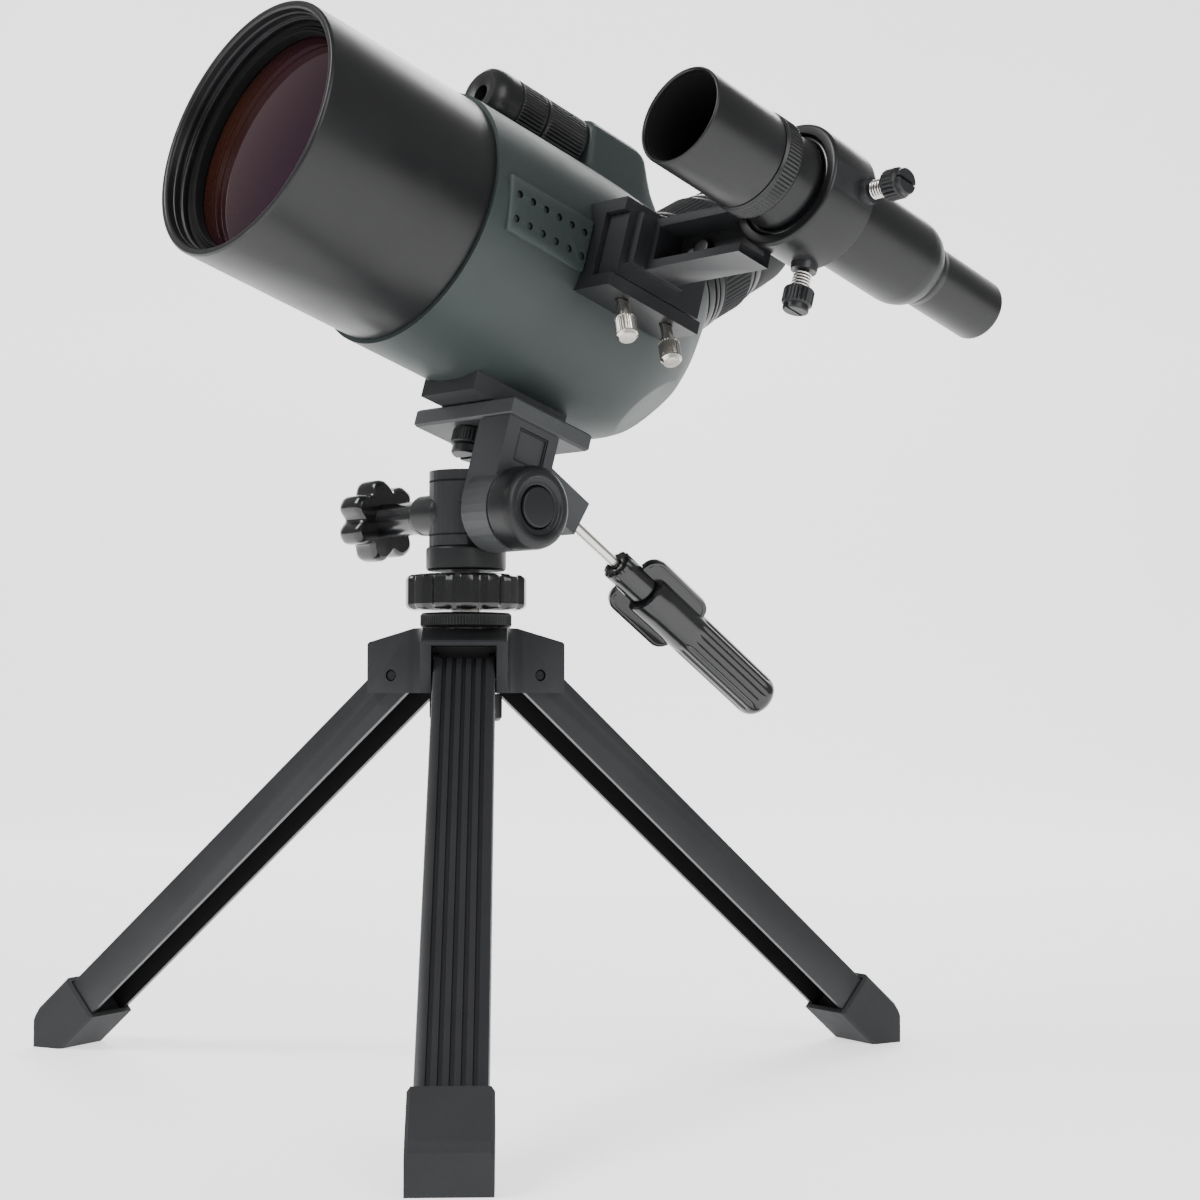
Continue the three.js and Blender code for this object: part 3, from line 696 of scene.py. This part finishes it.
def bracket():
    outline = [(17.4, 121), (20.2, 121), (21, 121.8), (21, 141), (17.4, 141)]
    band = turned_solid("finder_bracket", outline, BRACKET, SATIN, 128, 0.5)
    foot = block((51.3, 107, -9.7), (60.6, 146, 12.2), TUBE)
    flange = block((ARM_START, 110, ARM_LOW), (64, 134, ARM_TOP), TUBE)
    arm = block((ARM_START, ARM_FRONT, ARM_LOW), (ARM_END, ARM_BACK, ARM_TOP), TUBE)
    cut_block(arm, (66.5, ARM_FRONT - 1, ARM_LOW + ARM_WALL), (112, ARM_BACK - ARM_WALL, ARM_TOP - ARM_WALL),
              TUBE)
    for part in (foot, flange, arm):
        boolean(band, part, "UNION")
    for joint in ADJUSTERS:
        outline = [(0, 18.6), (4.6, 18.6), (4.2, 23.1), (0, 23.1)]
        boss = turned_solid("boss", outline, joint_frame(joint, TUBE_AXIS), SATIN, 32, 0)
        boolean(band, boss, "UNION")
    drill(band, BRACKET, 17.4, 100, 160, around=128)
    drill(band, shifted(TUBE, 72, 0, 4), 2.1, 120, 140)
    soften(band, 0.45)
    resurface(band, SATIN)
    settle(band, "finder", ["finder_bracket"])
    turned("bracket_boss", [(0, 127.3), (3.4, 127.3), (3.4, 124.4), (2.9, 124.0), (0, 124.0)],
           shifted(TUBE, 79, 0, 4), SATIN, "finder", around=48, soft=0.3)


def coil(radius, wire, low, high, turns):
    """Points and faces of a coil spring as a swept tube with its ends closed."""
    steps, sides = turns * 20, 8
    points = []
    for i in range(steps + 1):
        t = i / steps
        a = 2 * math.pi * turns * t
        rise = low + wire + (high - low - 2 * wire) * t
        centre = Vector((radius * math.cos(a), rise, radius * math.sin(a)))
        outward = Vector((math.cos(a), 0, math.sin(a)))
        for k in range(sides):
            b = 2 * math.pi * k / sides
            points.append(centre + outward * wire * math.cos(b) + Vector((0, wire * math.sin(b), 0)))
    return points, ring_faces(steps + 1, sides)


def adjusting_screws():
    knurl = ribs(22, 0.55, 29.4, 34.6, 4.7, 1.4, 0.5)
    for i, joint in enumerate(ADJUSTERS, 1):
        place = joint_frame(joint, TUBE_AXIS)
        outline = [(0, 15.9), (1.5, 15.9), (1.8, 16.4), (1.8, 29.4), (4.6, 29.4)]
        outline += wall(5.0, 29.9, 34.3, 0.4)
        outline += [(4.6, 34.7), (4.1, 35.0), (4.2, 35.4), (4.2, 36.6), (3.8, 37), (0, 37)]
        screw = turned_solid(f"adjusting_screw_{i}", outline, place, DARK, 176, 0, knurl)
        cut_block(screw, (-6, 35.6, -0.45), (6, 38, 0.45), place)
        resurface(screw, DARK)
        settle(screw, JOINTS[joint]["child"], [f"adjusting_screw_{i}"])
        points, faces = coil(2.7, 0.38, 23.3, 29.1, 5)
        piece(f"adjusting_spring_{i}", points, faces, place, STEEL, "finder")


def shoe():
    dress("finder_shoe", SATIN, 0.6)
    knurl = ribs(24, 0.35, 7.2, 13.8, 3.4, 1.4, 0.4)
    shank = [(0, -5.1), (1.7, -5.1), (2, -4.7), (2, 4.8), (2.5, 5), (2.5, 6.4), (3.3, 6.8)]
    outline = shank + wall(3.6, 7.2, 13.8, 0.4) + [(3.3, 14.2), (2.8, 14.9), (0, 15.0)]
    for i, joint in enumerate(SHOE_SCREWS, 1):
        turned(f"shoe_thumbscrew_{i}", outline, joint_frame(joint, TUBE_AXIS), NICKEL, JOINTS[joint]["child"],
               192, 0, knurl)


# ---------------------------------------------------------------- head: plate, screw, yoke and tilt boss
def yoke_panel_edge():
    """Thin near-black frame along the step round the recessed panel on the yoke's outer side, as painted
    shade.
    """
    outer = [(-5.7, 15.8), (6.7, 15.8), (6.7, 26.7), (-5.7, 26.7)]
    inner = [(-5.2, 16.3), (6.2, 16.3), (6.2, 26.2), (-5.2, 26.2)]
    back, front = 25.25, 25.75
    loops = ((back, outer), (front, outer), (front, inner), (back, inner))
    points = [(x, y, z) for x, loop in loops for y, z in loop]
    piece("yoke_panel_edge", points, ring_faces(len(loops), len(outer), joined=True), TILT, LEG, "scope")


def camera_screw():
    place = axis_z(shifted(TILT, CAMERA_SCREW_X, CAMERA_SCREW_Y))
    outline = [(0, 20.4), (6.2, 20.4), (6.8, 21.0), (6.8, 23.2), (6.2, 23.6), (7.4, 23.9)]
    outline += wall(7.8, 24.3, 28.9, 0.4)
    outline += [(7.4, 29.4), (3, 29.5), (3, 39.2), (2.7, 39.5), (0, 39.5)]
    wheel = turned_solid("camera_screw", outline, place, DARK, 192, 0, ribs(32, 0.5, 24.1, 29.1, 7.3))
    cut_block(wheel, (-8, 19, -0.9), (8, 21.6, 0.9), place)
    resurface(wheel, DARK)
    settle(wheel, "mount_screw", ["camera_screw"])


def tilt_pieces():
    dress("head_plate", GREY, 0.35)
    dress("yoke", GREY, 0.55)
    dress("mounting_foot", RUBBER, 0.6)
    yoke_panel_edge()
    boss = [(5.3, 27.3), (13.4, 27.3), (14, 27.9), (14, 35.2), (13.6, 36.8), (12.4, 37.9), (11, 38.2),
            (9.8, 38.1), (9.2, 37.2), (7.3, 37.1), (7.2, 35), (5.3, 35)]
    turned("tilt_boss", boss, axis_x(TILT), DARK, "scope", 112, 0.5)
    cap = [(0, 35.4), (6.9, 35.4), (6.9, 37.2), (6.5, 37.8), (0, 37.8)]
    turned("tilt_boss_cap", cap, axis_x(TILT), DARK, "scope", 80, 0.3)
    camera_screw()


# ---------------------------------------------------------------- pan handle
WING_TOP, WING_LOW, WING_HALF, WING_CORNER = 70, 37, 12.5, 5.5
WING_ROLL = math.radians(-45)


def scallops(angle, radius, y):
    """Ten shallow bites round the front edge of the handle's collar."""
    end = 33
    if radius < 4 or y > end:
        return 0
    return -0.7 * max(0, math.cos(10 * angle)) * (end - y) / 4


def wing_outline():
    """Rounded rectangle of the two wings, as [x, y] pairs."""
    x, high, low = WING_HALF - WING_CORNER, WING_TOP - WING_CORNER, WING_LOW + WING_CORNER
    steps = 8
    outline = []
    for centre_x, centre_y, start in ((x, high, 0), (-x, high, 90), (-x, low, 180), (x, low, 270)):
        for k in range(steps + 1):
            a = math.radians(start + 90 * k / steps)
            outline.append((centre_x + WING_CORNER * math.cos(a), centre_y + WING_CORNER * math.sin(a)))
    return outline


def wing_beads(path, thick=0.42, inset=1.4, height=1.75):
    """Points and faces of two flat beads just inside a path of [x, y] pairs, at +height and at -height."""
    sides = 8
    points = []
    faces = []
    for level in (height, -height):
        first = len(points)
        for i, (x, y) in enumerate(path):
            ahead = Vector(path[min(i + 1, len(path) - 1)])
            behind = Vector(path[max(i - 1, 0)])
            along = (ahead - behind).normalized()
            outward = Vector((along.y, -along.x))
            if outward.x * x <= 0:
                outward.negate()
            for k in range(sides):
                a = 2 * math.pi * k / sides
                reach = thick * math.cos(a) - inset
                lift = thick * 0.6 * math.sin(a)
                points.append((x + outward.x * reach, y + outward.y * reach, level + lift))
        faces += [tuple(first + index for index in face) for face in ring_faces(len(path), sides)]
    return points, faces


def handle_grip():
    """Fluted grip with two wings near its front."""
    radius, tip, steps = 8.2, 4.6, 8
    outline = [(0, 47), (2.2, 47), (2.2, 45.4), (7.2, 45.4), (7.9, 45.9), (radius, 46.8), (radius, 54)]
    outline += wall(radius, 68, 112.4, 0.8)
    for k in range(1, steps + 1):
        a = math.pi / 2 * k / steps
        outline.append((radius - tip * (1 - math.cos(a)), 112.6 + tip * math.sin(a)))
    grooves = ribs(16, 0.55, 70, 112, 7.9, 3.0, 3.0)
    grip = turned_solid("handle_grip", outline + [(0, 117.4)], HANDLE, GLOSS, 256, 0, grooves)
    roll = HANDLE @ Matrix.Rotation(WING_ROLL, 4, "Y")
    wing = wing_outline()
    points, faces = extruded(wing, -1.7, 1.7, axis=2)
    wings = solid("handle_wings", points, faces, roll, GLOSS, bevel=0.7)
    drill(wings, HANDLE, 5.9, 30, 45.4, around=64)
    boolean(grip, wings, "UNION")
    resurface(grip, GLOSS)
    settle(grip, "handle", ["handle_grip"])
    for side in (1, -1):
        flank = sorted(((x, y) for x, y in wing if x * side > 7.5), key=lambda point: point[1])
        points, faces = wing_beads(flank)
        piece("handle_wing_rim", points, faces, roll, GLOSS, "handle")


def handle():
    turned("handle_rod", cylinder(1.9, -3.5, 46), HANDLE, STEEL, "handle", 64)
    collar = [(2.2, 29.4), (3.4, 29.0), (4.6, 29.0)] + wall(5.6, 29.6, 33.2, 0.6)
    collar += [(5.6, 44.6), (5.3, 45), (2.2, 45)]
    turned("handle_collar", collar, HANDLE, GLOSS, "handle", 160, 0, scallops)
    handle_grip()


# ---------------------------------------------------------------- pan head, on the head frame
def pan_head():
    base = [(5.3, -19.6), (12.9, -19.6), (13.6, -18.9), (13.6, -12.3), (13.1, -11.6), (5.3, -11.6)]
    turned("pan_base", base, axis_z(HEAD), DARK, "pan_head", 128, 0.4)
    dress("clamp_body", DARK, 0.5)
    clamp_trim()
    turned("tilt_axle", cylinder(5, -12.5, 34.7), axis_x(HEAD), STEEL, "pan_head", 64)
    neck = [(0, -44), (5.9, -44), (5.9, -24.2), (6.6, -23.6), (6.6, -21.4), (3, -21.4), (3, -13), (0, -13)]
    turned("tilt_knob_neck", neck, axis_x(HEAD), GLOSS, "tilt_lock", 64, 0.4)
    tilt_knob()


def clamp_trim():
    """The clamp's bolt boss, which stands proud of the tower, and near-black rings of painted shade in its
    two grooves.
    """
    radius, bulge, shoulder, steps = 6.4, 4.2, -3.2, 8
    boss = [(0, -14.2), (5.6, -14.2), (radius, -13.6), (radius, shoulder)]
    for k in range(1, steps):
        a = math.pi / 2 * k / steps
        boss.append((radius * math.cos(a), shoulder + bulge * math.sin(a)))
    bolt = axis_x(shifted(HEAD, y=-7.4))
    turned("clamp_bolt_boss", boss + [(0, shoulder + bulge)], bolt, DARK, "pan_head", 72, 0)
    # Painted shade: thin near-black rings at the bottoms of the two grooves.
    for name, low, high in (("clamp_cap_groove", 10.2, 10.9), ("clamp_foot_groove", -7.9, -7.3)):
        turned(name, sleeve(12.3, 12.66, low, high), axis_z(HEAD), BORE_BLACK_AND_PAINTED_SHADE, "pan_head",
               soft=0.05)


def tilt_knob():
    """Seven-lobed knob, as rings of one lobed outline at several sizes."""
    lobes, around = 7, 280
    profile = [(0.45, -52.4), (0.52, -52.5), (0.58, -53.0), (0.66, -54.4), (0.8, -55.0), (0.9, -54.8),
               (0.965, -54.0), (0.99, -53.0), (1.0, -51.5), (1.0, -46.2), (0.985, -44.8), (0.95, -43.8),
               (0.88, -43.1), (0.5, -43.0)]
    points = []
    for scale, x in profile:
        for k in range(around):
            a = 2 * math.pi * k / around
            r = (13.4 + 1.7 * math.cos(lobes * a) - 0.35 * math.cos(2 * lobes * a)) * scale
            points.append((x, r * math.cos(a), r * math.sin(a)))
    piece("tilt_knob", points, ring_faces(len(profile), around), HEAD, GLOSS, "tilt_lock")


# ---------------------------------------------------------------- tripod centre, on the floor frame
HUB_LOW, HUB_TOP = 130.5, 152.3
HUB_BORE = 5.4
ARM_HALF, ARM_REACH, ARM_CURVE = 14.3, 30.5, 11.0
LEG_HOLE = 2.0


def flutes(angle, radius, _height):
    """Fourteen finger hollows round the pan knob."""
    if radius < 19:
        return 0
    return -1.4 * max(0, math.cos(14 * angle) + 0.2) / 1.2


def tripod_centre():
    turned("centre_stud", cylinder(5, 124, 176), axis_z(FLOOR), STEEL, "tripod", 64)
    knob = [(HUB_BORE, 158.6), (18.6, 158.6), (20.0, 159.2), (20.6, 160.2)] + wall(20.6, 160.6, 168.6, 1.0)
    knob += [(20.3, 169.6), (19.4, 170.3), (17.4, 170.6), (14.4, 170.6), (14.2, 170.2), (HUB_BORE, 170.2)]
    turned("pan_knob", knob, axis_z(FLOOR), GLOSS, "pan_lock", 336, 0, flutes)
    ring = [(HUB_BORE, 152.6), (14.8, 152.6), (15.2, 153.0)] + wall(15.5, 153.4, 156.8, 0.4)
    ring += [(15.2, 157.2), (14.8, 157.6), (HUB_BORE, 157.6)]
    turned("pan_lock_ring", ring, axis_z(FLOOR), DARK, "lock_ring", 450, 0,
           ribs(90, 0.4, 153.2, 157.0, 15.3, 1.6, 0.4))
    nut = [(5.3, 121), (11.3, 121), (12.3, 122.2), (12.3, 130.2), (5.3, 130.2)]
    turned("hub_nut", nut, axis_z(FLOOR), DARK, "tripod", 96, 0.4)
    hub()


def leg_direction(number):
    """A leg's hinge in metres and the level direction from the tripod's axis to it."""
    pivot = Vector(JOINTS[f"leg_{number}_fold"]["pos_m"])
    away = Vector((pivot.x - PAN.x, pivot.y - PAN.y, 0)).normalized()
    return pivot, away


def hub_outline(arms):
    """Outline of the hub seen from above: three square-ended arms with hollow curves between them."""
    steps = 10
    centre = (ARM_HALF + ARM_CURVE) / math.sin(math.radians(60))
    outline = []
    for i, away in enumerate(arms):
        side = UP.cross(away)
        outline.append(away * ARM_REACH - side * ARM_HALF)
        # The arm's end bulges by a hair, so that its three points aren't in one line.
        outline.append(away * (ARM_REACH + 0.01))
        outline.append(away * ARM_REACH + side * ARM_HALF)
        following = arms[(i + 1) % 3]
        middle = (away + following).normalized() * centre
        start = middle - side * ARM_CURVE
        last = middle + UP.cross(following) * ARM_CURVE
        first_angle = math.atan2(*(start - middle).yx)
        turn = (math.atan2(*(last - middle).yx) - first_angle + math.pi) % (2 * math.pi) - math.pi
        for k in range(steps + 1):
            a = first_angle + turn * k / steps
            outline.append(middle + Vector((math.cos(a), math.sin(a), 0)) * ARM_CURVE)
    return outline


def hub_skin(arms):
    """Points and faces of the hub: a flat base, straight sides and a top that rises towards the axis."""
    outline = hub_outline(arms)
    edge_drop, slope, level_radius = 0.6, 0.25, 12
    points = [(p.x, p.y, HUB_LOW) for p in outline]
    scales = (1.0, 0.985, 0.8, 0.6, 0.42)
    for i, scale in enumerate(scales):
        for p in outline:
            run = max(away.dot(p) for away in arms) * scale
            height = HUB_TOP - slope * max(0, run - level_radius)
            points.append((p.x * scale, p.y * scale, height - (edge_drop if i == 0 else 0)))
    return points, ring_faces(len(scales) + 1, len(outline))


def hub():
    directions = [leg_direction(number)[1] for number in LEG_NUMBERS]
    points, faces = hub_skin(sorted(directions, key=lambda away: math.atan2(away.y, away.x)))
    core = solid("hub", points, faces, FLOOR, LEG)
    frames = [local_frame(FLOOR.translation, away, away.cross(UP)) for away in directions]
    hinges = [axis_x(shifted(place, 0, HINGE_OUT, HINGE_HEIGHT)) for place in frames]
    for place, hinge in zip(frames, hinges):
        cut_block(core, (-10.7, 9.6, 120), (10.7, 40, 146), place)
        drill(core, hinge, LEG_HOLE, -20, 20)
    drill(core, axis_z(FLOOR), HUB_BORE, 100, 200, around=64)
    resurface(core, LEG)
    settle(core, "tripod", ["hub"])
    pin = [(0, -14), (1.5, -14), (1.9, -13.6), (1.9, 13.6), (1.5, 14), (0, 14)]
    for i, hinge in enumerate(hinges, 1):
        turned(f"leg_pin_{i}", pin, hinge, PIN, "tripod", 48, 0)


# ---------------------------------------------------------------- legs and feet
LEG_SLOPE = math.radians(40.7)
LEG_HALF, LEG_TOP, LEG_LOW, LEG_WALL, LEG_END = 10.2, 7.2, -6.8, 2.0, 192
LEG_INNER = LEG_HALF - LEG_WALL
GROOVE_PITCH, GROOVE_DEPTH = 3.2, 0.55


def leg_section():
    """Outline of the channel's skin, with five lengthwise grooves along the outer face."""
    corner = [(LEG_HALF, LEG_LOW), (LEG_HALF, LEG_TOP - 0.9), (LEG_HALF - 0.3, LEG_TOP - 0.3),
              (LEG_HALF - 0.9, LEG_TOP)]
    outline = [(-x, z) for x, z in corner]
    bed = LEG_TOP - GROOVE_DEPTH
    for k in range(-2, 3):
        middle = k * GROOVE_PITCH
        outline += [(middle - 0.75, LEG_TOP), (middle - 0.5, bed)]
        outline += [(middle + 0.5, bed), (middle + 0.75, LEG_TOP)]
    outline += corner[::-1]
    roof = LEG_TOP - LEG_WALL
    outline += [(LEG_INNER, LEG_LOW), (LEG_INNER, roof), (-LEG_INNER, roof), (-LEG_INNER, LEG_LOW)]
    return outline


def legs():
    for i, number in enumerate(LEG_NUMBERS, 1):
        pivot, away = leg_direction(number)
        down = away * math.cos(LEG_SLOPE) - UP * math.sin(LEG_SLOPE)
        place = local_frame(pivot, down, -Vector(JOINTS[f"leg_{number}_fold"]["axis"]))
        points, faces = extruded(leg_section(), 0, LEG_END, axis=1)
        bar = solid(f"leg_{i}", points, faces, place, LEG)
        drill(bar, axis_x(place), LEG_HOLE, -20, 20)
        # The bar's second material is painted shade inside its channel.
        resurface(bar, LEG, BORE_BLACK_AND_PAINTED_SHADE)
        paint_channel_shade(bar, place)
        settle(bar, f"leg_{number}", [f"leg_{i}"])
        for side in (-1, 1):
            settle(cheek(place, side, f"leg_{i}_cheek"), f"leg_{number}")
        dress(f"foot_{i}", RUBBER, 0.9, 4)


def cheek(place, side, name):
    """Loose shape of one rounded cheek of the channel's top, round the hinge pin."""
    steps = 24
    turns = [math.pi * (0.5 + k / steps) for k in range(1, steps)]
    arc = [(LEG_TOP * math.cos(a), LEG_TOP * math.sin(a)) for a in turns]
    outline = [(0, LEG_TOP)] + arc + [(-1.5, LEG_LOW + 0.1), (0, LEG_LOW)]
    low, high = sorted((side * LEG_INNER, side * LEG_HALF))
    points, faces = extruded(outline, low, high, axis=0)
    shape = solid(name, points, faces, place, LEG)
    drill(shape, axis_x(place), LEG_HOLE, -20, 20)
    resurface(shape, LEG)
    return shape


def paint_channel_shade(bar, place):
    """Gives the inside of the channel the bar's second, near-black material, as painted shade."""
    to_local = place.inverted()
    margin = 0.05
    for polygon in bar.data.polygons:
        middle = (to_local @ polygon.center) / MM
        inside = abs(middle.x) < LEG_INNER + margin and middle.z < LEG_TOP - LEG_WALL + margin
        if inside and 0 < middle.y < LEG_END:
            polygon.material_index = 1


# ---------------------------------------------------------------- floor, light and camera
CAMERA_TURN = math.radians(47.24)
CAMERA_PITCH = math.radians(2.3)
CAMERA_AZIMUTH = math.radians(50.6)
CAMERA_DISTANCE = 0.77715
CAMERA_HEIGHT = 0.13094
CAMERA_LENS = 68.52
LAMP_AIM = Vector((0, 0, 0.2))
# Each lamp is its name, its place in metres, its size in metres and its power in watts.
LAMPS = (
    ("key", (-0.35, -1.1, 1.5), 0.9, 26),
    ("fill", (1.35, -0.3, 0.9), 1.0, 13),
    ("rim", (-0.7, 1.1, 1.1), 0.7, 10),
)


def floor_material():
    """Pale matt surface that glows a little, so that it stays light all round the object."""
    white, nodes, links, bsdf = shader("pale_floor", (0.90, 0.90, 0.90), 0.6)
    cloud = ramp(nodes, links, noise(nodes, links, 3, 2.0), (0.88, 0.88, 0.88), (0.92, 0.92, 0.92))
    links.new(cloud, bsdf.inputs["Base Color"])
    bsdf.inputs["Emission Color"].default_value = (1, 1, 1, 1)
    bsdf.inputs["Emission Strength"].default_value = 1.15
    return white


def floor():
    """A floor that curves up into a wall behind the object, as the camera sees it."""
    half, rise, radius, steps = 1.6, 1.4, 0.5, 12
    profile = [(-half, 0.0)]
    for k in range(steps + 1):
        a = math.pi / 2 * k / steps
        profile.append((half - radius + radius * math.sin(a), radius - radius * math.cos(a)))
    profile.append((half, rise))
    turn = Matrix.Rotation(CAMERA_TURN, 4, "Z")
    points = [turn @ Vector((x * half * 1.5, y, z)) for y, z in profile for x in (-1, 1)]
    faces = [(2 * k, 2 * k + 1, 2 * k + 3, 2 * k + 2) for k in range(len(profile) - 1)]
    mesh = bpy.data.meshes.new("floor")
    mesh.from_pydata(points, [], faces)
    for polygon in mesh.polygons:
        polygon.use_smooth = True
    mesh.materials.append(floor_material())
    sheet = bpy.data.objects.new("floor", mesh)
    bpy.context.scene.collection.objects.link(sheet)


def lights():
    world = bpy.data.worlds.new("studio")
    bpy.context.scene.world = world
    world.use_nodes = True
    world.node_tree.nodes["Background"].inputs["Color"].default_value = (1, 1, 1, 1)
    world.node_tree.nodes["Background"].inputs["Strength"].default_value = 0.34
    for name, offset, size, power in LAMPS:
        light = bpy.data.lights.new(name, "AREA")
        light.shape = "SQUARE"
        light.size = size
        light.energy = power
        lamp = bpy.data.objects.new(name, light)
        lamp.location = Vector(offset)
        lamp.rotation_euler = (LAMP_AIM - lamp.location).to_track_quat("-Z", "Y").to_euler()
        bpy.context.scene.collection.objects.link(lamp)


def camera():
    """Low in front of the scope and a little to its right, as far away as the photographer stood."""
    data = bpy.data.cameras.new("camera")
    data.lens = CAMERA_LENS
    data.sensor_width = 36
    eye = bpy.data.objects.new("camera", data)
    bpy.context.scene.collection.objects.link(eye)
    away = Vector((math.sin(CAMERA_AZIMUTH), -math.cos(CAMERA_AZIMUTH), 0))
    ahead = Vector((-math.sin(CAMERA_TURN), math.cos(CAMERA_TURN), 0)) * math.cos(CAMERA_PITCH)
    forward = ahead + UP * math.sin(CAMERA_PITCH)
    eye.location = Vector((PAN.x, PAN.y, CAMERA_HEIGHT)) + away * CAMERA_DISTANCE
    eye.rotation_euler = forward.to_track_quat("-Z", "Y").to_euler()
    bpy.context.scene.camera = eye


# ---------------------------------------------------------------- assembly
for build in (objective, body, focus_knobs, inner_optics, eyepiece, finder, bracket, adjusting_screws, shoe,
              tilt_pieces, handle, pan_head, tripod_centre, legs, floor, lights, camera):
    build()
